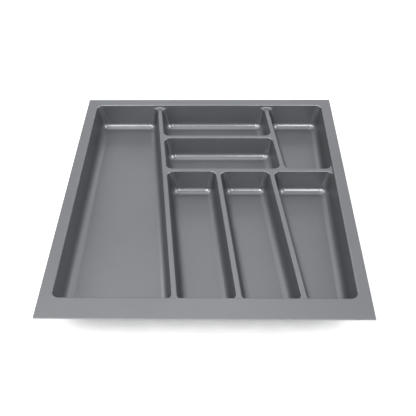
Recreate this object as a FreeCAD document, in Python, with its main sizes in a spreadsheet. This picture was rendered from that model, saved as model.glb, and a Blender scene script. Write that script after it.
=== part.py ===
"""Cutlery tray: a formed sheet drawer insert with seven bins.

Lengths are millimetres and angles degrees.  Plan positions are measured from the tray's
front left corner, heights from the underside of the bins.  The finished tray is centred
on the origin, its front faces -Y and its rim lies level at the top.
"""
import FreeCAD, Part
import os
import Sketcher

SIZES = [
    ("tray_width", 440.0),
    ("tray_depth", 490.0),
    ("tray_height", 46.0),
    ("sheet_thickness", 2.0),
    ("rim_width", 17.0),
    ("front_rim_width", 34.0),
    ("divider_drop", 6.0),
    ("divider_width", 8.0),
    ("divider_angle", 6.6),
    ("draft_angle", 10.0),
    ("bin_radius", 10.0),
    ("lip_radius", 2.4),
    ("lip_land", 0.3),
    ("joint_reach", 4.0),
    ("right_bin_width", 64.0),
    ("cutlery_bin_width", 78.4),
    ("wide_bin_width", 185.5),
    ("middle_bin_depth", 80.0),
    ("rear_bin_depth", 80.0),
]

CLOSE = 1e-4

doc = FreeCAD.newDocument("cutlery_tray")
sheet = doc.addObject("Spreadsheet::Sheet", "Sizes")
for row, (alias, value) in enumerate(SIZES, start=1):
    sheet.set(f"A{row}", alias)
    sheet.set(f"B{row}", str(value))
    sheet.setAlias(f"B{row}", alias)
doc.recompute()


def size(alias):
    """A sheet value as it is written in an expression."""
    return f"Sizes.{alias}"


# Heights, as expressions
RIM_TOP = size("tray_height")
DECK_TOP = f"({RIM_TOP} - {size('divider_drop')})"
DECK_THICKNESS = f"({size('lip_radius')} + {size('lip_land')})"
BIN_TOP = f"({DECK_TOP} - {DECK_THICKNESS})"
BAND_HEIGHT = f"({RIM_TOP} - {BIN_TOP})"

# Offsets, as expressions
SLOPE = f"tan({size('divider_angle')})"
LEAN = f"cos({size('divider_angle')})"
ACROSS = f"({size('divider_width')} / {LEAN})"
WALL = f"({size('sheet_thickness')} / cos({size('draft_angle')}))"
INSET = f"({BAND_HEIGHT} * tan({size('draft_angle')}))"
FLARE = f"({size('bin_radius')} + {size('joint_reach')})"
NOTHING = "0"

# Straight sides of the opening at the top of the bins, as expressions
LEFT = f"({size('rim_width')} + {INSET})"
RIGHT = f"({size('tray_width')} - {size('rim_width')} - {INSET})"
FRONT = f"({size('front_rim_width')} + {INSET})"
REAR = f"({size('tray_depth')} - {size('rim_width')} - {INSET})"

# Edges of the cross dividers, rear to front; the front bins take the length that is left
FIRST_REAR = f"({REAR} - {size('rear_bin_depth')})"
FIRST_FRONT = f"({FIRST_REAR} - {size('divider_width')})"
SECOND_REAR = f"({FIRST_FRONT} - {size('middle_bin_depth')})"
SECOND_FRONT = f"({SECOND_REAR} - {size('divider_width')})"

# Edges of the slanted dividers where their lines cross the front of the opening, right to left;
# the left bin takes the width that is left
OUTER_RIGHT = f"({RIGHT} - {size('right_bin_width')})"
OUTER_LEFT = f"({OUTER_RIGHT} - {ACROSS})"
INNER_RIGHT = f"({OUTER_LEFT} - {size('cutlery_bin_width')})"
INNER_LEFT = f"({INNER_RIGHT} - {ACROSS})"
LONG_RIGHT = f"({INNER_LEFT} - {size('cutlery_bin_width')})"
LONG_LEFT = f"({LONG_RIGHT} - {ACROSS})"
SHORT_LEFT = f"({LONG_RIGHT} + {size('wide_bin_width')})"
SHORT_RIGHT = f"({SHORT_LEFT} + {ACROSS})"

# Bin name, left side, right side, front, rear; a side is its place and whether it slants
BINS = [
    ("left_bin", (LEFT, False), (LONG_LEFT, True), FRONT, REAR),
    ("rear_middle_bin", (LONG_RIGHT, True), (SHORT_LEFT, True), FIRST_REAR, REAR),
    ("second_middle_bin", (LONG_RIGHT, True), (SHORT_LEFT, True), SECOND_REAR, FIRST_FRONT),
    ("rear_right_bin", (SHORT_RIGHT, True), (RIGHT, False), SECOND_REAR, REAR),
    ("front_left_bin", (LONG_RIGHT, True), (INNER_LEFT, True), FRONT, SECOND_FRONT),
    ("front_middle_bin", (INNER_RIGHT, True), (OUTER_LEFT, True), FRONT, SECOND_FRONT),
    ("front_right_bin", (OUTER_RIGHT, True), (RIGHT, False), FRONT, SECOND_FRONT),
]


def value_of(expression):
    """The number that an expression has now."""
    result = sheet.evalExpression(expression)
    return float(getattr(result, "Value", result))


def corners(left, right, front, rear, grow=NOTHING):
    """Corner points, as pairs of expressions, of a plan outline grown outwards."""
    low = f"({front} - {grow})"
    high = f"({rear} + {grow})"

    def side(place, slants, sign, height):
        if not slants:
            return f"({place} {sign} {grow})"
        return f"({place} {sign} {grow} / {LEAN} - ({height} - {FRONT}) * {SLOPE})"

    return [
        (side(*left, "-", low), low),
        (side(*right, "+", low), low),
        (side(*right, "+", high), high),
        (side(*left, "-", high), high),
    ]


def add_sketch(body, name, height):
    """A level sketch whose origin is the tray's front left corner."""
    sketch = body.newObject("Sketcher::SketchObject", name)
    ground = [item for item in body.Origin.OriginFeatures if item.Role == "XY_Plane"][0]
    sketch.AttachmentSupport = [(ground, "")]
    sketch.MapMode = "FlatFace"
    sketch.setExpression("AttachmentOffset.Base.x", f"-{size('tray_width')} / 2")
    sketch.setExpression("AttachmentOffset.Base.y", f"-{size('tray_depth')} / 2")
    sketch.setExpression("AttachmentOffset.Base.z", height)
    return sketch


def add_outline(sketch, name, points):
    """A closed four-sided outline in the sketch, each corner held by two distances."""
    places = [FreeCAD.Vector(value_of(across), value_of(along), 0) for across, along in points]
    first = sketch.GeometryCount
    count = len(places)
    for index, place in enumerate(places):
        sketch.addGeometry(Part.LineSegment(place, places[(index + 1) % count]), False)
    for index in range(count):
        following = first + (index + 1) % count
        sketch.addConstraint(Sketcher.Constraint("Coincident", first + index, 2, following, 1))
    for index, (across, along) in enumerate(points):
        for kind, expression, distance in (
            ("DistanceX", across, places[index].x),
            ("DistanceY", along, places[index].y),
        ):
            held = sketch.addConstraint(
                Sketcher.Constraint(kind, -1, 1, first + index, 1, distance)
            )
            title = f"{name}_{kind}_{index}"
            sketch.renameConstraint(held, title)
            sketch.setExpression(f"Constraints.{title}", expression)


def names_of(kind, items, wanted):
    """Names of the faces or edges that the test picks out."""
    return [f"{kind}{number}" for number, item in enumerate(items, start=1) if wanted(item)]


def is_upright(face):
    """Whether a face stands straight up."""
    return abs(face.normalAt(0, 0).z) < CLOSE


def is_rising(edge):
    """Whether an edge leads from one level to another."""
    heights = [vertex.Z for vertex in edge.Vertexes]
    return max(heights) - min(heights) > CLOSE


def is_at(shape, height):
    """Whether a face or an edge lies flat at this height."""
    return abs(shape.BoundBox.ZMin - height) < CLOSE and abs(shape.BoundBox.ZMax - height) < CLOSE


def add_pad(body, name, sketch, depth):
    """Material from the sketch downwards."""
    pad = body.newObject("PartDesign::Pad", name)
    pad.Profile = sketch
    pad.Reversed = True
    pad.setExpression("Length", depth)
    doc.recompute()
    return pad


def add_pocket(body, name, sketch, depth):
    """A cut from the sketch downwards."""
    pocket = body.newObject("PartDesign::Pocket", name)
    pocket.Profile = sketch
    pocket.setExpression("Length", depth)
    doc.recompute()
    return pocket


def add_draft(body, name, base, faces, height):
    """Slope on upright faces so that they close in below the flat face at this height."""
    draft = body.newObject("PartDesign::Draft", name)
    draft.Base = (base, faces)
    level = names_of("Face", base.Shape.Faces, lambda face: is_at(face, height))
    draft.NeutralPlane = (base, level[:1])
    draft.Reversed = True
    draft.setExpression("Angle", size("draft_angle"))
    doc.recompute()
    return draft


def add_fillet(body, name, base, edges, radius):
    """A rounding of the named edges."""
    fillet = body.newObject("PartDesign::Fillet", name)
    fillet.Base = (base, edges)
    fillet.setExpression("Radius", radius)
    doc.recompute()
    return fillet


def add_hopper(name, points, top, depth, radius, round_bottom):
    """A solid that narrows downwards, with rounded corners and, for a bin, a rounded foot."""
    body = doc.addObject("PartDesign::Body", name)
    sketch = add_sketch(body, f"{name}_plan", top)
    add_outline(sketch, "plan", points)
    block = add_pad(body, f"{name}_block", sketch, depth)
    sides = names_of("Face", block.Shape.Faces, is_upright)
    sloped = add_draft(body, f"{name}_slope", block, sides, value_of(top))
    foot = sloped.Shape.BoundBox.ZMin

    def wanted(edge):
        return is_rising(edge) or (round_bottom and is_at(edge, foot))

    edges = names_of("Edge", sloped.Shape.Edges, wanted)
    add_fillet(body, f"{name}_rounds", sloped, edges, radius)
    return body


def combine(kind, name, base, tool):
    """A boolean of two objects."""
    result = doc.addObject(kind, name)
    result.Base = base
    result.Tool = tool
    result.Label = name
    doc.recompute()
    return result


# The rim: a flat flange and the sloped band below its inner edge
flange = doc.addObject("PartDesign::Body", "flange")
flange_sketch = add_sketch(flange, "flange_plan", RIM_TOP)
whole = corners(
    (NOTHING, False), (size("tray_width"), False), NOTHING, size("tray_depth")
)
add_outline(flange_sketch, "plan", whole)
add_pad(flange, "flange_plate", flange_sketch, size("sheet_thickness"))

opening = ((LEFT, False), (RIGHT, False), FRONT, REAR)
OUTER_RADIUS = f"({size('bin_radius')} + {size('sheet_thickness')})"
band = add_hopper(
    "band", corners(*opening, f"({INSET} + {WALL})"), RIM_TOP, BAND_HEIGHT, OUTER_RADIUS, False
)
basin = add_hopper(
    "basin", corners(*opening, INSET), RIM_TOP, BAND_HEIGHT, size("bin_radius"), False
)
rim_blank = combine("Part::Fuse", "rim_blank", flange, band)
rim_ring = combine("Part::Cut", "rim_ring", rim_blank, basin)

rim = doc.addObject("PartDesign::Body", "rim")
rim.BaseFeature = rim_ring
doc.recompute()
rim_base = rim.Group[0]
rim_top = value_of(RIM_TOP)
half_width = value_of(size("tray_width")) / 2


def is_lip(edge):
    """Whether an edge goes round the opening at the top of the rim."""
    inside = max(abs(edge.BoundBox.XMin), abs(edge.BoundBox.XMax)) < half_width - CLOSE
    return is_at(edge, rim_top) and inside


lip_edges = names_of("Edge", rim_base.Shape.Edges, is_lip)
add_fillet(rim, "lip", rim_base, lip_edges, size("lip_radius"))
nodes = [("rim", rim)]

# The seven bins: each a hopper less a smaller hopper
for name, left, right, front, rear in BINS:
    outer = add_hopper(
        f"{name}_outside", corners(left, right, front, rear, WALL), BIN_TOP, BIN_TOP,
        OUTER_RADIUS, True,
    )
    inner = add_hopper(
        f"{name}_inside", corners(left, right, front, rear), BIN_TOP,
        f"({BIN_TOP} - {size('sheet_thickness')})", size("bin_radius"), True,
    )
    nodes.append((name, combine("Part::Cut", name, outer, inner)))

# The deck that the dividers are cut from: a plate with an opening over each bin
deck = doc.addObject("PartDesign::Body", "deck")
plate_sketch = add_sketch(deck, "plate_plan", DECK_TOP)
add_outline(plate_sketch, "plan", corners(*opening, FLARE))
add_pad(deck, "plate", plate_sketch, DECK_THICKNESS)
holes_sketch = add_sketch(deck, "holes_plan", DECK_TOP)
STEP_BACK = f"({DECK_THICKNESS} * tan({size('draft_angle')}))"
MOVED = {
    LEFT: f"({LEFT} - {STEP_BACK})",
    RIGHT: f"({RIGHT} + {STEP_BACK})",
    FRONT: f"({FRONT} - {STEP_BACK})",
    REAR: f"({REAR} + {STEP_BACK})",
}


def clear_of_band(place):
    """A side of an opening, moved behind the band's sloped face where it lies along it."""
    return MOVED.get(place, place)


for name, (left, left_slants), (right, right_slants), front, rear in BINS:
    sides = (
        (clear_of_band(left), left_slants), (clear_of_band(right), right_slants),
        clear_of_band(front), clear_of_band(rear),
    )
    add_outline(holes_sketch, name, corners(*sides))
holes = add_pocket(deck, "holes", holes_sketch, DECK_THICKNESS)
deck_top = value_of(DECK_TOP)
plate_edge = value_of(f"{size('tray_width')} / 2 - {MOVED[LEFT]}") + CLOSE
plate_front = value_of(f"{MOVED[FRONT]} - {size('tray_depth')} / 2") - CLOSE
plate_rear = value_of(f"{MOVED[REAR]} - {size('tray_depth')} / 2") + CLOSE


def is_over_bins(edge):
    """Whether an edge belongs to one of the openings and not to the plate's outside."""
    box = edge.BoundBox
    between_sides = max(abs(box.XMin), abs(box.XMax)) < plate_edge
    return between_sides and box.YMin > plate_front and box.YMax < plate_rear


hole_corners = names_of(
    "Edge", holes.Shape.Edges, lambda edge: is_rising(edge) and is_over_bins(edge)
)
hole_rounds = add_fillet(deck, "hole_rounds", holes, hole_corners, size("bin_radius"))
hole_lips = names_of(
    "Edge", hole_rounds.Shape.Edges, lambda edge: is_at(edge, deck_top) and is_over_bins(edge)
)
add_fillet(deck, "deck_lip", hole_rounds, hole_lips, size("lip_radius"))

network = combine("Part::Common", "network", deck, basin)

# Plan regions that share the network out into dividers; a through divider keeps its flat top
LIP = size("lip_radius")
LIP_ACROSS = f"({LIP} / {LEAN})"


def beside(place, sign):
    """A slanted line beside a divider's edge, clear of the flared ends."""
    return (f"({place} {sign} {FLARE} / {LEAN})", True)


REGIONS = [
    (
        "rear_cross_divider",
        (f"({LONG_RIGHT} - {LIP_ACROSS})", True), (f"({SHORT_LEFT} + {LIP_ACROSS})", True),
        f"({FIRST_FRONT} - {FLARE})", f"({FIRST_REAR} + {FLARE})",
    ),
    (
        "front_cross_divider",
        (f"({LONG_RIGHT} - {LIP_ACROSS})", True), (f"({RIGHT} + {FLARE})", False),
        f"({SECOND_FRONT} - {FLARE})", f"({SECOND_REAR} + {FLARE})",
    ),
    (
        "rear_right_divider", beside(SHORT_LEFT, "-"), beside(SHORT_RIGHT, "+"),
        f"({SECOND_REAR} - {LIP})", f"({REAR} + {FLARE})",
    ),
    (
        "front_inner_divider", beside(INNER_LEFT, "-"), beside(INNER_RIGHT, "+"),
        f"({FRONT} - {FLARE})", f"({SECOND_FRONT} + {LIP})",
    ),
    (
        "front_outer_divider", beside(OUTER_LEFT, "-"), beside(OUTER_RIGHT, "+"),
        f"({FRONT} - {FLARE})", f"({SECOND_FRONT} + {LIP})",
    ),
]

regions = {}
for name, left, right, front, rear in REGIONS:
    body = doc.addObject("PartDesign::Body", f"{name}_region")
    sketch = add_sketch(body, f"{name}_region_plan", RIM_TOP)
    add_outline(sketch, "plan", corners(left, right, front, rear))
    add_pad(body, f"{name}_region_block", sketch, RIM_TOP)
    regions[name] = body


def share(name, others):
    """The part of the network in a region, less the regions of other dividers."""
    if not others:
        return combine("Part::Common", name, network, regions[name])
    piece = combine("Part::Common", f"{name}_whole", network, regions[name])
    for number, other in enumerate(others, start=1):
        title = name if number == len(others) else f"{name}_less_{number}"
        piece = combine("Part::Cut", title, piece, regions[other])
    return piece


SHARES = [
    ("rear_cross_divider", []),
    ("front_inner_divider", []),
    ("front_outer_divider", []),
    ("rear_right_divider", ["rear_cross_divider"]),
    (
        "front_cross_divider",
        ["rear_right_divider", "front_inner_divider", "front_outer_divider"],
    ),
]
for name, others in SHARES:
    nodes.append((name, share(name, others)))

rest = network
for number, (name, others) in enumerate(SHARES, start=1):
    title = "long_divider" if number == len(SHARES) else f"long_divider_less_{number}"
    rest = combine("Part::Cut", title, rest, regions[name])
nodes.append(("long_divider", rest))

# Checks, then one file for each sub-part
doc.recompute()
for item in doc.Objects:
    if "Invalid" in item.State or "Error" in item.State:
        raise RuntimeError(f"{item.Name} did not build: {item.State}")
os.makedirs("parts", exist_ok=True)
for name, item in nodes:
    item.Label = name
    shape = item.Shape
    if shape.isNull() or not shape.isValid() or len(shape.Solids) != 1:
        raise RuntimeError(f"{name} is not one sound solid")
    shape.Solids[0].exportStep(f"parts/{name}.step")
    print(name, shape.optimalBoundingBox(False))
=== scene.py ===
"""Cutlery tray: the skins of its formed sheet, the finish, the light and the camera.

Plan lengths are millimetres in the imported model's own frame: the front faces -Y, the
underside of the bins is at height zero, and the tray is centred on the origin.
"""
import itertools
import math

import bpy
from mathutils import Matrix, Vector


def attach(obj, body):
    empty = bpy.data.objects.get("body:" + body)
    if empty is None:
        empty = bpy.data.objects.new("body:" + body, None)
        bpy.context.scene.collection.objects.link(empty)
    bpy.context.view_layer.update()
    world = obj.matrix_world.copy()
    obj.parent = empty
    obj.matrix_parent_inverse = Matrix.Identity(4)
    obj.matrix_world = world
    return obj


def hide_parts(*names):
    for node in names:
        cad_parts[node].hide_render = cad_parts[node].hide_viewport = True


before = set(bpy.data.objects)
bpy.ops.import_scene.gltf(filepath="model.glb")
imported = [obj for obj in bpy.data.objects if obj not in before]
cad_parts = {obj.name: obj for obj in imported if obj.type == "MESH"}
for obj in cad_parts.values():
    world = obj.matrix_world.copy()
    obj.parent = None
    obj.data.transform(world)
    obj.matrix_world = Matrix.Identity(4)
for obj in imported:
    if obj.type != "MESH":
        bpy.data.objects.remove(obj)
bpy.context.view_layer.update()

MM = 0.001
UP = Vector((0.0, 0.0, 1.0))

# Sizes of the sheet, the same as in the solids
HALF_WIDTH = 220.0
HALF_DEPTH = 245.0
RIM_TOP = 46.0
DECK_TOP = 40.0
BIN_TOP = 37.3
FLOOR_TOP = 2.0
SHEET = 2.0
RIM_WIDTH = 17.0
FRONT_RIM_WIDTH = 34.0
DIVIDER_WIDTH = 8.0
RIGHT_BIN_WIDTH = 64.0
CUTLERY_BIN_WIDTH = 78.4
WIDE_BIN_WIDTH = 185.5
SHORT_BIN_DEPTH = 80.0
DRAFT = math.radians(10.0)
LEAN = math.radians(6.6)
BIN_RADIUS = 10.0
LIP_RADIUS = 2.4

# Sizes that only the skins have
END_FOOT = (11.5, 11.5)
SIDE_FOOT = (13.0, 18.0)
FOOT_CORNER = 14.0
DIVIDER_LIP = 1.5
LIP_SHEET = 1.4
EDGE_RADIUS = 0.4
CURL_RADIUS = 3.0
CURL_SHARE = 0.9
LIP_FADE = math.radians(45.0)
LEAST_LIP = 0.1
JOIN_HEIGHT = 42.6

# How close places, and parts of a length, count as the same; the slack is a share of the weld
WELD = 1e-3
WELD_SLACK = 0.25
PART_DIGITS = 8

# Counts of sides, and of steps in the meshes
SIDES = 4
SIDE_PAIRS = 2
LEAST_CORNERS = 3
LEAST_STEPS = 2
CORNER_STEPS = 16
LIP_STEPS = 7
WALL_STEPS = 3
FOOT_STEPS = 12
ACROSS_STEPS = 4
CAP_STEPS = 4
CURL_STEPS = 5
FLANGE_STEPS = 3
EDGE_STEPS = 3
RUN_LENGTH = 12.0

RIGHT_ANGLE = math.pi / 2
TURN = RIGHT_ANGLE - DRAFT
LIP_TANGENT = math.tan(TURN / 2)
WALL_STEP = (DECK_TOP - BIN_TOP) * math.tan(DRAFT)
LIP_REACH = WALL_STEP + DIVIDER_LIP * LIP_TANGENT
FADE_RUN = (BIN_RADIUS + WALL_STEP) * math.sin(LIP_FADE)

# Places of the sides at the top of the bins; slanted ones where they cross the front line
INSET = (RIM_TOP - BIN_TOP) * math.tan(DRAFT)
LEFT = RIM_WIDTH + INSET - HALF_WIDTH
RIGHT = HALF_WIDTH - RIM_WIDTH - INSET
FRONT = FRONT_RIM_WIDTH + INSET - HALF_DEPTH
REAR = HALF_DEPTH - RIM_WIDTH - INSET
ACROSS = DIVIDER_WIDTH / math.cos(LEAN)
FIRST_REAR = REAR - SHORT_BIN_DEPTH
FIRST_FRONT = FIRST_REAR - DIVIDER_WIDTH
SECOND_REAR = FIRST_FRONT - SHORT_BIN_DEPTH
SECOND_FRONT = SECOND_REAR - DIVIDER_WIDTH
OUTER_RIGHT = RIGHT - RIGHT_BIN_WIDTH
OUTER_LEFT = OUTER_RIGHT - ACROSS
INNER_RIGHT = OUTER_LEFT - CUTLERY_BIN_WIDTH
INNER_LEFT = INNER_RIGHT - ACROSS
LONG_RIGHT = INNER_LEFT - CUTLERY_BIN_WIDTH
LONG_LEFT = LONG_RIGHT - ACROSS
SHORT_LEFT = LONG_RIGHT + WIDE_BIN_WIDTH
SHORT_RIGHT = SHORT_LEFT + ACROSS


def straight_side(outward_x, outward_y, place):
    """A side as its outward direction and its distance from the origin along it."""
    return (outward_x, outward_y, place)


def slanted_side(sign, place):
    """A side that leans with the dividers, facing right for sign 1 and left for sign -1."""
    distance = (place + FRONT * math.tan(LEAN)) * math.cos(LEAN)
    return (sign * math.cos(LEAN), sign * math.sin(LEAN), sign * distance)


def bin_sides(left, right, front, rear):
    """The four sides of a bin: front, right, rear, left."""
    return [straight_side(0.0, -1.0, -front), right, straight_side(0.0, 1.0, rear), left]


FRONT_SIDE, RIGHT_SIDE, REAR_SIDE, LEFT_SIDE = range(SIDES)
FRONT_LEFT, FRONT_RIGHT, REAR_RIGHT, REAR_LEFT = range(SIDES)
AT_LEFT = straight_side(-1.0, 0.0, -LEFT)
AT_RIGHT = straight_side(1.0, 0.0, RIGHT)
OPENING = bin_sides(AT_LEFT, AT_RIGHT, FRONT, REAR)
OUTER_PLACES = [HALF_DEPTH, HALF_WIDTH, HALF_DEPTH, HALF_WIDTH]

BINS = {
    "left_bin": bin_sides(AT_LEFT, slanted_side(1, LONG_LEFT), FRONT, REAR),
    "rear_middle_bin": bin_sides(
        slanted_side(-1, LONG_RIGHT), slanted_side(1, SHORT_LEFT), FIRST_REAR, REAR
    ),
    "second_middle_bin": bin_sides(
        slanted_side(-1, LONG_RIGHT), slanted_side(1, SHORT_LEFT), SECOND_REAR, FIRST_FRONT
    ),
    "rear_right_bin": bin_sides(slanted_side(-1, SHORT_RIGHT), AT_RIGHT, SECOND_REAR, REAR),
    "front_left_bin": bin_sides(
        slanted_side(-1, LONG_RIGHT), slanted_side(1, INNER_LEFT), FRONT, SECOND_FRONT
    ),
    "front_middle_bin": bin_sides(
        slanted_side(-1, INNER_RIGHT), slanted_side(1, OUTER_LEFT), FRONT, SECOND_FRONT
    ),
    "front_right_bin": bin_sides(slanted_side(-1, OUTER_RIGHT), AT_RIGHT, FRONT, SECOND_FRONT),
}

# Bins along each side of the opening, in the order of the outline
RIM_BINS = [
    ["left_bin", "front_left_bin", "front_middle_bin", "front_right_bin"],
    ["front_right_bin", "rear_right_bin"],
    ["rear_right_bin", "rear_middle_bin", "left_bin"],
    ["left_bin"],
]

# Each divider: the bin sides along its one edge and its other, then its two ends; an end is a
# corner of a bin at either edge, the side that it runs into, and whether that is the rim
DIVIDERS = {
    "long_divider": (
        [
            [("left_bin", RIGHT_SIDE)],
            [
                ("rear_middle_bin", LEFT_SIDE), ("second_middle_bin", LEFT_SIDE),
                ("front_left_bin", LEFT_SIDE),
            ],
        ],
        [
            (("left_bin", REAR_RIGHT), ("rear_middle_bin", REAR_LEFT), REAR_SIDE, True),
            (("left_bin", FRONT_RIGHT), ("front_left_bin", FRONT_LEFT), FRONT_SIDE, True),
        ],
    ),
    "rear_cross_divider": (
        [[("rear_middle_bin", FRONT_SIDE)], [("second_middle_bin", REAR_SIDE)]],
        [
            (("rear_middle_bin", FRONT_LEFT), ("second_middle_bin", REAR_LEFT), LEFT_SIDE, False),
            (("rear_middle_bin", FRONT_RIGHT), ("second_middle_bin", REAR_RIGHT), RIGHT_SIDE, False),
        ],
    ),
    "front_cross_divider": (
        [
            [("second_middle_bin", FRONT_SIDE), ("rear_right_bin", FRONT_SIDE)],
            [
                ("front_left_bin", REAR_SIDE), ("front_middle_bin", REAR_SIDE),
                ("front_right_bin", REAR_SIDE),
            ],
        ],
        [
            (("second_middle_bin", FRONT_LEFT), ("front_left_bin", REAR_LEFT), LEFT_SIDE, False),
            (("rear_right_bin", FRONT_RIGHT), ("front_right_bin", REAR_RIGHT), RIGHT_SIDE, True),
        ],
    ),
    "rear_right_divider": (
        [
            [("rear_middle_bin", RIGHT_SIDE), ("second_middle_bin", RIGHT_SIDE)],
            [("rear_right_bin", LEFT_SIDE)],
        ],
        [
            (("rear_middle_bin", REAR_RIGHT), ("rear_right_bin", REAR_LEFT), REAR_SIDE, True),
            (("second_middle_bin", FRONT_RIGHT), ("rear_right_bin", FRONT_LEFT), FRONT_SIDE, False),
        ],
    ),
    "front_inner_divider": (
        [[("front_left_bin", RIGHT_SIDE)], [("front_middle_bin", LEFT_SIDE)]],
        [
            (("front_left_bin", REAR_RIGHT), ("front_middle_bin", REAR_LEFT), REAR_SIDE, False),
            (("front_left_bin", FRONT_RIGHT), ("front_middle_bin", FRONT_LEFT), FRONT_SIDE, True),
        ],
    ),
    "front_outer_divider": (
        [[("front_middle_bin", RIGHT_SIDE)], [("front_right_bin", LEFT_SIDE)]],
        [
            (("front_middle_bin", REAR_RIGHT), ("front_right_bin", REAR_LEFT), REAR_SIDE, False),
            (("front_middle_bin", FRONT_RIGHT), ("front_right_bin", FRONT_LEFT), FRONT_SIDE, True),
        ],
    ),
}


def smooth(value):
    """A soft step from 0 to 1."""
    value = min(1.0, max(0.0, value))
    return value * value * (3.0 - 2.0 * value)


def spread(count):
    """Even fractions from 0 to 1."""
    return [step / count for step in range(count + 1)]


FOOT_TILTS = [DRAFT + TURN * part for part in spread(FOOT_STEPS)[1:]]


def outward_of(side):
    """The direction out of a bin across a side."""
    return Vector(side[:2])


def along_of(side):
    """The direction along a side, with the bin on the left hand."""
    return Vector((-side[1], side[0]))


def meet(first, second, first_inset, second_inset):
    """Where two sides cross once each is moved inwards."""
    first_x, first_y, first_place = first
    second_x, second_y, second_place = second
    first_place -= first_inset
    second_place -= second_inset
    scale = first_x * second_y - first_y * second_x
    return Vector((
        (first_place * second_y - first_y * second_place) / scale,
        (first_x * second_place - first_place * second_x) / scale,
    ))


def corner_centre(sides, corner, inset=BIN_RADIUS):
    """Centre of the rounding at a corner, between the side before it and its own side."""
    return meet(sides[corner - 1], sides[corner], inset, inset)


def corner_normals(sides, corner):
    """Outward directions round a corner, from the side before it to its own side."""
    before = sides[corner - 1]
    after = sides[corner]
    start = math.atan2(before[1], before[0])
    turn = (math.atan2(after[1], after[0]) - start) % math.tau
    angles = [start + turn * part for part in spread(CORNER_STEPS)]
    return [Vector((math.cos(angle), math.sin(angle))) for angle in angles]


def side_centres(sides, side, count):
    """Rounding centres along a straight side, from one corner to the next."""
    start = corner_centre(sides, side)
    end = corner_centre(sides, (side + 1) % SIDES)
    return [start.lerp(end, part) for part in spread(count)]


def run_count(length):
    """Steps for a straight run."""
    return max(LEAST_STEPS, round(length / RUN_LENGTH))


def tilted(outward, tilt):
    """A surface direction that leans from level, facing into a bin, to straight up."""
    flat = outward * -math.cos(tilt)
    return Vector((flat.x, flat.y, math.sin(tilt)))


def sample(point, height, normal, way=None):
    """A point of the skin: its place, its normal and the place under it."""
    place = Vector((point.x, point.y, height))
    return (place, normal, place - (way or normal) * SHEET)


class Skin:
    """The upper surface of a piece, whose face corners keep their normals, and what is under it."""

    def __init__(self):
        self.places = []
        self.unders = []
        self.faces = []
        self.found = {}

    def vertex(self, place, under):
        """The number of a vertex, shared by all faces that reach it."""
        cells = list(itertools.product(*(
            {round(value / WELD - WELD_SLACK), round(value / WELD + WELD_SLACK)} for value in place
        )))
        for cell in cells:
            if cell in self.found:
                return self.found[cell]
        self.found.update(dict.fromkeys(cells, len(self.places)))
        self.places.append(place)
        self.unders.append(under)
        return len(self.places) - 1

    def face(self, samples):
        """One face, with repeated corners left out and its order set by the normals."""
        corners = {}
        for place, normal, under in samples:
            corners.setdefault(self.vertex(place, under), normal)
        if len(corners) < LEAST_CORNERS:
            return
        numbers = list(corners)
        if self.area(numbers).dot(sum(corners.values(), Vector())) < 0:
            numbers.reverse()
        self.faces.append([(number, corners[number]) for number in numbers])

    def area(self, numbers):
        """The direction that a face looks in, as long as twice its area."""
        start = self.places[numbers[0]]
        arms = [self.places[number] - start for number in numbers[1:]]
        return sum((first.cross(second) for first, second in zip(arms, arms[1:])), Vector())

    def grid(self, rows, closed=False):
        """Faces between rows of samples."""
        for lower, upper in zip(rows, rows[1:]):
            count = len(lower)
            for step in range(count if closed else count - 1):
                following = (step + 1) % count
                self.face([lower[step], lower[following], upper[following], upper[step]])


def add_piece(node, skin, material):
    """A closed piece of sheet from its upper surface, standing for one node."""
    count = len(skin.places)
    faces = []
    normals = []
    edges = {}
    for corners in skin.faces:
        numbers = [number for number, normal in corners]
        faces.append(numbers)
        normals += [normal for number, normal in corners]
        edges.update(dict.fromkeys(zip(numbers, numbers[1:] + numbers[:1])))
    for corners in skin.faces:
        faces.append([number + count for number, normal in reversed(corners)])
        normals += [-normal for number, normal in reversed(corners)]
    places = skin.places + skin.unders
    for start, end in edges:
        if (end, start) in edges:
            continue
        faces.append([end, start, start + count, end + count])
        across = places[start + count] - places[end]
        level = places[end + count] - places[start]
        normals += [across.cross(level).normalized()] * SIDES
    mesh = bpy.data.meshes.new(f"{node}_skin")
    mesh.from_pydata([place * MM for place in places], [], faces)
    mesh.polygons.foreach_set("use_smooth", [True] * len(faces))
    mesh.normals_split_custom_set(normals)
    mesh.materials.append(material)
    piece = bpy.data.objects.new(f"{node}_skin", mesh)
    bpy.context.scene.collection.objects.link(piece)
    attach(piece, "root")
    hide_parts(node)


def lip_profile(top, radius):
    """Offset, height and tilt from the top of the bins up over a rounding to a flat."""
    out = (top - BIN_TOP) * math.tan(DRAFT) + radius * LIP_TANGENT
    points = [(0.0, BIN_TOP, DRAFT)]
    for part in spread(LIP_STEPS):
        tilt = DRAFT + TURN * part
        points.append((out - radius * math.cos(tilt), top - radius * (1 - math.sin(tilt)), tilt))
    return points


# The bins


def foot_curve(foot, tilt):
    """How far a foot, as wide and as tall as given, still goes in and down from one tilt on."""
    wide, tall = foot
    scale = math.hypot(wide * math.cos(tilt), tall * math.sin(tilt))
    return wide * wide * math.cos(tilt) / scale, tall - tall * tall * math.sin(tilt) / scale


def wall_profile(foot):
    """Inward offset and height from a bin's top down a wall and round its foot."""
    reach, rise = foot_curve(foot, DRAFT)
    fall = BIN_TOP - FLOOR_TOP - rise
    rows = [(fall * part * math.tan(DRAFT), BIN_TOP - fall * part) for part in spread(WALL_STEPS)]
    end = rows[-1][0] + reach
    for tilt in FOOT_TILTS:
        left, height = foot_curve(foot, tilt)
        rows.append((end - left, FLOOR_TOP + height))
    return rows


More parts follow.
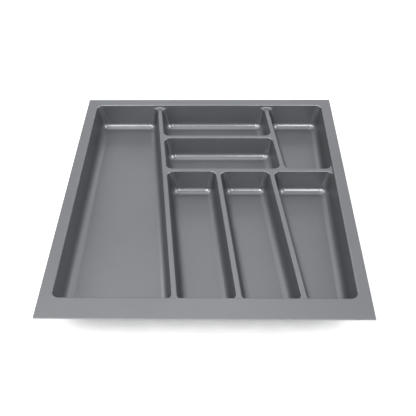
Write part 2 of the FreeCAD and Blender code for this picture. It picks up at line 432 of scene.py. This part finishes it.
def bin_levels():
    """Tilt, corner radius and each side's offset and height, from a bin's top down."""
    forms = [
        (DRAFT, BIN_RADIUS + (FOOT_CORNER - BIN_RADIUS) * part) for part in spread(WALL_STEPS)
    ]
    start = (foot_curve(END_FOOT, DRAFT)[0] + foot_curve(SIDE_FOOT, DRAFT)[0]) / 2
    for tilt in FOOT_TILTS:
        left = (foot_curve(END_FOOT, tilt)[0] + foot_curve(SIDE_FOOT, tilt)[0]) / 2
        forms.append((tilt, FOOT_CORNER - start + left))
    ends = wall_profile(END_FOOT)
    flanks = wall_profile(SIDE_FOOT)
    return [
        (tilt, radius, [end, flank] * SIDE_PAIRS)
        for (tilt, radius), end, flank in zip(forms, ends, flanks)
    ]


def level_centres(sides, radius, walls):
    """Corner centres at one level of a bin."""
    insets = [offset + radius for offset, height in walls]
    return [
        meet(sides[corner - 1], sides[corner], insets[corner - 1], insets[corner])
        for corner in range(SIDES)
    ]


def bin_ring(sides, counts, tilt, radius, walls, drawn_radius):
    """Samples all round a bin at one level."""
    centres = level_centres(sides, radius, walls)
    samples = []
    for corner, side in enumerate(sides):
        centre = centres[corner]
        following = centres[(corner + 1) % SIDES]
        before = walls[corner - 1][1]
        height = walls[corner][1]
        spots = []
        for part, normal in zip(spread(CORNER_STEPS), corner_normals(sides, corner)):
            spots.append((centre, normal, before + (height - before) * smooth(part)))
        for part in spread(counts[corner])[1:-1]:
            spots.append((centre.lerp(following, part), outward_of(side), height))
        samples += [
            sample(spot + normal * drawn_radius, level, tilted(normal, tilt))
            for spot, normal, level in spots
        ]
    return samples


def bin_skin(sides):
    """A tub with sloped walls, a rounded foot and a flat floor."""
    corners = [corner_centre(sides, corner) for corner in range(SIDES)]
    wide = run_count((corners[FRONT_RIGHT] - corners[FRONT_LEFT]).length)
    deep = run_count((corners[REAR_RIGHT] - corners[FRONT_RIGHT]).length)
    counts = [wide, deep] * SIDE_PAIRS
    levels = bin_levels()
    rings = [bin_ring(sides, counts, *level, level[1]) for level in levels]
    rings.append(bin_ring(sides, counts, *levels[-1], 0.0))
    skin = Skin()
    skin.grid(rings, closed=True)
    tilt, radius, walls = levels[-1]
    floor_corners = level_centres(sides, radius, walls)
    floor = []
    for part in spread(deep):
        start = floor_corners[FRONT_LEFT].lerp(floor_corners[REAR_LEFT], part)
        end = floor_corners[FRONT_RIGHT].lerp(floor_corners[REAR_RIGHT], part)
        floor.append([sample(start.lerp(end, place), FLOOR_TOP, UP) for place in spread(wide)])
    skin.grid(floor)
    return skin


# The dividers


def lip_line(centre, outward, radius, way):
    """Samples over a divider's lip, from the bin's edge to the flat top, cut there along a way."""
    samples = [
        sample(centre + outward * (BIN_RADIUS + offset), height, tilted(outward, tilt))
        for offset, height, tilt in lip_profile(DECK_TOP, radius)
    ]
    start = samples[0][0] - tilted(outward, DRAFT) * LIP_SHEET
    end = samples[-1][0] - way * SHEET
    shares = spread(LIP_STEPS + 1) if radius else [0.0] + [1.0] * (LIP_STEPS + 1)
    return [
        (place, normal, start.lerp(end, share))
        for (place, normal, under), share in zip(samples, shares)
    ]


def end_arc(bin_name, corner, wall, at_rim):
    """Lip lines round a bin's corner, from the side that a divider runs into."""
    sides = BINS[bin_name]
    centre = corner_centre(sides, corner)
    normals = corner_normals(sides, corner)
    if wall == corner:
        normals.reverse()
    lines = []
    for normal in normals:
        radius = DIVIDER_LIP
        way = UP
        if at_rim:
            angle = normal.angle(normals[0])
            radius *= min(1.0, (angle / LIP_FADE) ** 2)
            radius *= radius > LEAST_LIP
            fade = smooth((BIN_RADIUS + WALL_STEP) * math.sin(angle) / FADE_RUN)
            way = tilted(normals[0], DRAFT).lerp(UP, fade).normalized()
        lines.append(lip_line(centre, normal, radius, way))
    return lines, normals[-1]


def add_curl(skin, columns, outward):
    """The hollow rounding where a divider's top turns up into the rim's sloped band."""
    band = tilted(outward, DRAFT)
    rows = []
    for part in spread(CURL_STEPS):
        tilt = RIGHT_ANGLE - TURN * part
        normal = tilted(outward, tilt)
        row = []
        for point, radius, fade in columns:
            spot = point + outward * (radius * math.cos(tilt))
            height = DECK_TOP + radius * (1 - math.sin(tilt))
            row.append(sample(spot, height, normal, band.lerp(normal, fade).normalized()))
        rows.append(row)
    skin.grid(rows)


def add_end(skin, end, stations):
    """A flared end of a divider; gives the samples across its narrow side."""
    first, second, wall, at_rim = end
    side = BINS[first[0]][wall]
    outward = outward_of(side)
    along = along_of(side)
    base = side[2] + (WALL_STEP if at_rim else LIP_REACH)
    edges = []
    for corner in (first, second):
        lines, last_normal = end_arc(*corner, wall, at_rim)
        skin.grid(lines)
        edges.append([line[-1] for line in lines])
    axis = Vector((-last_normal.y, last_normal.x))
    axis /= axis.dot(outward)
    tips = [along.dot(edge[0][0].xy) for edge in edges]

    def fade_at(point):
        """How far the skin has turned at a point, from its distance to the tips."""
        run = min(abs(along.dot(point) - tip) for tip in tips)
        return smooth(run / FADE_RUN) if at_rim else 1.0

    near, far = [edge[-1][0].xy for edge in edges]
    narrow = [sample(near.lerp(far, part), DECK_TOP, UP) for part in spread(ACROSS_STEPS)]
    lower = edges[0][:-1] + narrow + edges[1][-2::-1]
    band = tilted(outward, DRAFT)
    columns = []
    rows = [[] for part in spread(CAP_STEPS)]
    for place, normal, under in lower:
        gap = base - outward.dot(place.xy)
        fade = fade_at(place.xy + axis * gap)
        radius = min(CURL_RADIUS, CURL_SHARE * gap / LIP_TANGENT) if at_rim else 0.0
        radius *= radius > LEAST_LIP
        upper = place.xy + axis * (gap - radius * LIP_TANGENT)
        columns.append((upper, radius, fade))
        way = band.lerp(UP, fade).normalized()
        far_place, far_normal, far_under = sample(upper, DECK_TOP, UP, way)
        for part, row in zip(spread(CAP_STEPS), rows):
            row.append((place.lerp(far_place, part), UP, under.lerp(far_under, part)))
    skin.grid(rows)
    if at_rim:
        add_curl(skin, columns, outward)
        stations[wall] += [(along.dot(point), radius) for point, radius, fade in columns]
    return narrow


def lip_run(bin_name, side, near, far):
    """A lip's side, its first and last centres and the parts of a divider's edge they are at."""
    sides = BINS[bin_name]
    centres = side_centres(sides, side, 1)
    outward = outward_of(sides[side])
    run = far - near
    parts = [
        (centre + outward * (BIN_RADIUS + LIP_REACH) - near).dot(run) / run.length_squared
        for centre in centres
    ]
    return outward, centres, [round(part, PART_DIGITS) for part in parts]


def shared_parts(runs, length):
    """Parts of a divider's length at which all of its lips and its flat top have a row."""
    breaks = sorted({part for outward, centres, parts in runs for part in parts})
    rows = breaks[:1]
    for start, end in zip(breaks, breaks[1:]):
        count = run_count((end - start) * length)
        rows += [start + (end - start) * part for part in spread(count)[1:-1]] + [end]
    return rows


def divider_skin(edges, ends, stations):
    """The rounded top of a ridge between bins, with a flare at either end."""
    skin = Skin()
    start, end = [add_end(skin, each, stations) for each in ends]
    runs = []
    for place, bin_edges in zip((0, ACROSS_STEPS), edges):
        near, far = start[place][0].xy, end[place][0].xy
        runs += [lip_run(bin_name, side, near, far) for bin_name, side in bin_edges]
    parts = shared_parts(runs, (far - near).length)
    for outward, (first, last), (low, high) in runs:
        inside = [part for part in parts if min(low, high) <= part <= max(low, high)]
        skin.grid([
            lip_line(first.lerp(last, (part - low) / (high - low)), outward, DIVIDER_LIP, UP)
            for part in inside
        ])
    skin.grid([
        [sample(near[0].xy.lerp(far[0].xy, part), DECK_TOP, UP) for near, far in zip(start, end)]
        for part in parts
    ])
    return skin


# The rim


def rim_column(centre_at, normal, outer_at, radius=0.0, over_bin=True):
    """What is needed to draw the rim at one place of its outline."""
    return {
        "centre_at": centre_at, "normal": normal, "outer_at": outer_at,
        "radius": radius, "over_bin": over_bin,
    }


def corner_columns(corner):
    """Columns round a corner of the opening; the outline outside is square."""
    before = OPENING[corner - 1]
    after = OPENING[corner]
    centre = corner_centre(OPENING, corner)

    def outer_at(part, inset):
        """A point of the square outline, moved inwards, at a part of the way round the corner."""
        first = OUTER_PLACES[corner - 1] - inset
        second = OUTER_PLACES[corner] - inset
        tip = outward_of(before) * first + outward_of(after) * second
        start = along_of(before) * along_of(before).dot(centre) + outward_of(before) * first
        end = along_of(after) * along_of(after).dot(centre) + outward_of(after) * second
        return start.lerp(tip, 2 * part) if part < 0.5 else tip.lerp(end, 2 * part - 1)

    return [
        rim_column(
            lambda wider: corner_centre(OPENING, corner, BIN_RADIUS - wider), normal,
            lambda inset, part=part: outer_at(part, inset),
        )
        for part, normal in zip(spread(CORNER_STEPS), corner_normals(OPENING, corner))
    ]


def side_columns(side, stations):
    """Columns along a straight side of the opening, between its corners."""
    line = OPENING[side]
    outward = outward_of(line)
    along = along_of(line)
    spots = {}
    for bin_name in RIM_BINS[side]:
        centres = side_centres(BINS[bin_name], side, 1)
        count = run_count((centres[1] - centres[0]).length)
        for centre in side_centres(BINS[bin_name], side, count):
            spots[round(along.dot(centre) / WELD)] = (along.dot(centre), 0.0, True)
    for place, radius in stations[side]:
        spots.setdefault(round(place / WELD), (place, radius, False))
    places = [spots[key] for key in sorted(spots)]
    return [
        rim_column(
            lambda wider, place=place: along * place + outward * (line[2] + wider - BIN_RADIUS),
            outward,
            lambda inset, place=place: along * place + outward * (OUTER_PLACES[side] - inset),
            radius, over_bin,
        )
        for place, radius, over_bin in places[1:-1]
    ]


def band_sample(column, height):
    """A sample on the sloped band."""
    wider = (height - BIN_TOP) * math.tan(DRAFT)
    spot = column["centre_at"](wider) + column["normal"] * BIN_RADIUS
    return sample(spot, height, tilted(column["normal"], DRAFT))


def rim_line(column):
    """Samples from the foot of the band up over the lip and out to the edge of the flange."""
    normal = column["normal"]
    foot = DECK_TOP + column["radius"] * (1 - math.sin(DRAFT))
    line = [band_sample(column, foot), band_sample(column, JOIN_HEIGHT)]
    profile = lip_profile(RIM_TOP, LIP_RADIUS)[1:]
    start = profile[0][0]
    for offset, height, tilt in profile:
        spot = column["centre_at"](start) + normal * (BIN_RADIUS + offset - start)
        line.append(sample(spot, height, tilted(normal, tilt)))
    inner = line[-1][0].xy
    outer = column["outer_at"](EDGE_RADIUS)
    for part in spread(FLANGE_STEPS)[1:]:
        line.append(sample(inner.lerp(outer, part), RIM_TOP, UP))
    level = column["outer_at"](0.0) - outer
    facing = Vector((level.x, level.y, 0.0)).normalized()
    for part in spread(EDGE_STEPS)[1:]:
        angle = RIGHT_ANGLE * part
        spot = outer + level * math.sin(angle)
        height = RIM_TOP - EDGE_RADIUS * (1 - math.cos(angle))
        place = Vector((spot.x, spot.y, height))
        under = Vector((spot.x, spot.y, RIM_TOP - SHEET))
        line.append((place, facing * math.sin(angle) + UP * math.cos(angle), under))
    return line


def rim_skin(stations):
    """The flange, its rounded inner edge and the sloped band below it."""
    columns = []
    for side in range(SIDES):
        columns += corner_columns(side) + side_columns(side, stations)
    skin = Skin()
    lines = [rim_line(column) for column in columns]
    skin.grid(lines + lines[:1])
    for first, second in zip(columns, columns[1:] + columns[:1]):
        if first["over_bin"] and second["over_bin"]:
            skin.grid([
                [band_sample(column, BIN_TOP), band_sample(column, DECK_TOP)]
                for column in (first, second)
            ])
    return skin


# The finish

METAL_SHARE = 0.92
EDGE_TINT = (0.1, 0.1, 0.1)
OPAQUE = 1.0
TONE_PLACES = (0.3, 0.7)
TONES = ((0.311, 0.319, 0.336), (0.329, 0.337, 0.354))
TONE_NOISE = (9.0, 3.0)
# Roughness by how much the sheet faces the front or the rear: flat or flank, bend, bend, wall;
# the grain is stretched smooth in the bends at the ends of the bins
ROUGHNESS = ((0.25, 0.44), (0.68, 0.26), (0.88, 0.26), (0.99, 0.36))
PATCHES = (0.94, 1.06)
GLOSS_NOISE = (60.0, 4.0)
GRAIN_NOISE = (1400.0, 2.0)
GRAIN_STRENGTH = 0.03
GRAIN_DEPTH = 0.0002


def plastic_material():
    """Silver grey satin plastic with a fine grain and slight variation."""
    material = bpy.data.materials.new("grey_plastic_skin")
    material.use_nodes = True
    nodes = material.node_tree.nodes
    links = material.node_tree.links
    shader = nodes["Principled BSDF"]
    shader.inputs["Metallic"].default_value = METAL_SHARE
    shader.inputs["Specular Tint"].default_value = (*EDGE_TINT, OPAQUE)
    coordinates = nodes.new("ShaderNodeTexCoord")

    def noise(scale, detail):
        """Noise in the tray's own space, in spots per metre."""
        node = nodes.new("ShaderNodeTexNoise")
        node.inputs["Scale"].default_value = scale
        node.inputs["Detail"].default_value = detail
        links.new(coordinates.outputs["Object"], node.inputs["Vector"])
        return node.outputs["Fac"]

    tone = nodes.new("ShaderNodeValToRGB")
    for element, place, colour in zip(tone.color_ramp.elements, TONE_PLACES, TONES):
        element.position = place
        element.color = (*colour, OPAQUE)
    links.new(noise(*TONE_NOISE), tone.inputs["Fac"])
    links.new(tone.outputs["Color"], shader.inputs["Base Color"])
    facing = nodes.new("ShaderNodeSeparateXYZ")
    links.new(coordinates.outputs["Normal"], facing.inputs["Vector"])
    endwise = nodes.new("ShaderNodeMath")
    endwise.operation = "ABSOLUTE"
    links.new(facing.outputs["Y"], endwise.inputs[0])
    gloss = nodes.new("ShaderNodeValToRGB")
    stops = gloss.color_ramp.elements
    while len(stops) < len(ROUGHNESS):
        stops.new(1.0)
    for stop, (place, rough) in zip(stops, ROUGHNESS):
        stop.position = place
        stop.color = (rough, rough, rough, OPAQUE)
    links.new(endwise.outputs[0], gloss.inputs["Fac"])
    patchy = nodes.new("ShaderNodeMapRange")
    patchy.inputs["To Min"].default_value, patchy.inputs["To Max"].default_value = PATCHES
    links.new(noise(*GLOSS_NOISE), patchy.inputs["Value"])
    rough = nodes.new("ShaderNodeMath")
    rough.operation = "MULTIPLY"
    links.new(gloss.outputs["Color"], rough.inputs[0])
    links.new(patchy.outputs["Result"], rough.inputs[1])
    links.new(rough.outputs[0], shader.inputs["Roughness"])
    bump = nodes.new("ShaderNodeBump")
    bump.inputs["Strength"].default_value = GRAIN_STRENGTH
    bump.inputs["Distance"].default_value = GRAIN_DEPTH
    links.new(noise(*GRAIN_NOISE), bump.inputs["Height"])
    links.new(bump.outputs["Normal"], shader.inputs["Normal"])
    return material


plastic = plastic_material()
rim_stations = {side: [] for side in range(SIDES)}
for name, sides in BINS.items():
    add_piece(name, bin_skin(sides), plastic)
for name, (edges, ends) in DIVIDERS.items():
    add_piece(name, divider_skin(edges, ends, rim_stations), plastic)
add_piece("rim", rim_skin(rim_stations), plastic)

# The floor, which shows white away from the tray; close to it the real shadow is deepened by painted
# shade, where ambient occlusion dims the floor's glow

FLOOR_CORNERS = ((-1, -1), (1, -1), (1, 1), (-1, 1))
FLOOR_REACH = 6.0
FLOOR_HEIGHT = -0.0002
FLOOR_COLOUR = (0.9, 0.9, 0.9, 1.0)
FLOOR_ROUGHNESS = 0.9
FLOOR_GLOW = 0.475
SHADE_REACH = 0.0455
SHADE_RANGE = (0.48, 0.825)
WHITE = (1.0, 1.0, 1.0, 1.0)


def floor_material():
    """A pale matt floor, lighter to the rays that see it as a background; ambient occlusion dims
    that glow near the tray as painted shade.
    """
    material = bpy.data.materials.new("pale_floor")
    material.use_nodes = True
    nodes = material.node_tree.nodes
    links = material.node_tree.links
    shader = nodes["Principled BSDF"]
    shader.inputs["Base Color"].default_value = FLOOR_COLOUR
    shader.inputs["Roughness"].default_value = FLOOR_ROUGHNESS
    shader.inputs["Emission Color"].default_value = WHITE
    rays = nodes.new("ShaderNodeLightPath")
    seen = rays.outputs["Is Camera Ray"]
    for kind in ("Is Glossy Ray", "Is Transmission Ray"):
        either = nodes.new("ShaderNodeMath")
        either.operation = "MAXIMUM"
        links.new(seen, either.inputs[0])
        links.new(rays.outputs[kind], either.inputs[1])
        seen = either.outputs[0]
    glow = nodes.new("ShaderNodeMath")
    glow.operation = "MULTIPLY"
    links.new(seen, glow.inputs[0])
    # Painted shade: ambient occlusion from the tray dims the floor's glow, on top of the real shadow
    # on its matt part
    shade = nodes.new("ShaderNodeAmbientOcclusion")
    shade.inputs["Distance"].default_value = SHADE_REACH
    painted_shade_glow = nodes.new("ShaderNodeMapRange")
    painted_shade_glow.inputs["From Min"].default_value, painted_shade_glow.inputs["From Max"].default_value = SHADE_RANGE
    painted_shade_glow.inputs["To Max"].default_value = FLOOR_GLOW
    links.new(shade.outputs["AO"], painted_shade_glow.inputs["Value"])
    links.new(painted_shade_glow.outputs["Result"], glow.inputs[1])
    links.new(glow.outputs[0], shader.inputs["Emission Strength"])
    return material


floor_mesh = bpy.data.meshes.new("floor")
floor_mesh.from_pydata(
    [(x * FLOOR_REACH, y * FLOOR_REACH, FLOOR_HEIGHT) for x, y in FLOOR_CORNERS],
    [], [list(range(SIDES))],
)
floor_mesh.materials.append(floor_material())
floor = bpy.data.objects.new("floor", floor_mesh)
bpy.context.scene.collection.objects.link(floor)

# The light: a pale room and soft lamps, by their direction seen from the tray

ROOM_LIGHT = 0.46
LAMPS = {
    # name: degrees to the right of the front, degrees up, metres away, size, watts
    "front_left": (-20.0, 41.0, 4.0, (0.9, 1.8), 16.5),
    "front_right": (16.5, 41.0, 4.0, (0.9, 1.8), 19.5),
    "far_left": (-38.0, 38.0, 4.0, (1.1, 1.1), 23.5),
    "rear": (180.0, 18.0, 1.6, (1.6, 0.9), 4.2),
    "left": (270.0, 27.0, 1.6, (1.6, 1.2), 11.4),
    "right": (90.0, 27.0, 1.6, (1.6, 1.2), 12.2),
    "overhead": (210.0, 76.0, 1.7, (1.4, 1.2), 4.3),
}

world = bpy.data.worlds.new("studio")
world.use_nodes = True
bpy.context.scene.world = world
world.node_tree.nodes["Background"].inputs["Color"].default_value = WHITE
world.node_tree.nodes["Background"].inputs["Strength"].default_value = ROOM_LIGHT


def add_lamp(name, turned, raised, away, size, power):
    """A soft rectangular lamp that faces the tray."""
    lamp = bpy.data.lights.new(name, "AREA")
    lamp.shape = "RECTANGLE"
    lamp.size, lamp.size_y = size
    lamp.energy = power
    turned = math.radians(turned)
    raised = math.radians(raised)
    level = away * math.cos(raised)
    place = Vector((level * math.sin(turned), -level * math.cos(turned), away * math.sin(raised)))
    item = bpy.data.objects.new(name, lamp)
    item.location = place
    item.rotation_euler = place.to_track_quat("Z", "Y").to_euler()
    item.visible_camera = False
    bpy.context.scene.collection.objects.link(item)


for name, facts in LAMPS.items():
    add_lamp(name, *facts)

# The camera, fitted to the photograph's outline

FRAME_PIXELS = 416.0
FOCAL_PIXELS = 629.06
SENSOR = 36.0
PITCH = math.radians(44.008)
YAW = math.radians(-1.5572)
ROLL = math.radians(0.9825)
EYE = Vector((0.0211, -0.7245, 0.7061))

forward = Vector((
    math.sin(YAW) * math.cos(PITCH), math.cos(YAW) * math.cos(PITCH), -math.sin(PITCH)
))
level = Vector((math.cos(YAW), -math.sin(YAW), 0.0))
down = forward.cross(level)
across = level * math.cos(ROLL) + down * math.sin(ROLL)
below = down * math.cos(ROLL) - level * math.sin(ROLL)
lens = bpy.data.cameras.new("camera")
lens.sensor_width = SENSOR
lens.lens = FOCAL_PIXELS / FRAME_PIXELS * SENSOR
camera = bpy.data.objects.new("camera", lens)
turn = Matrix((across, -below, -forward)).transposed().to_4x4()
camera.matrix_world = Matrix.Translation(EYE) @ turn
bpy.context.scene.collection.objects.link(camera)
bpy.context.scene.camera = camera
bpy.context.scene.view_settings.view_transform = "Standard"

bpy.context.view_layer.update()
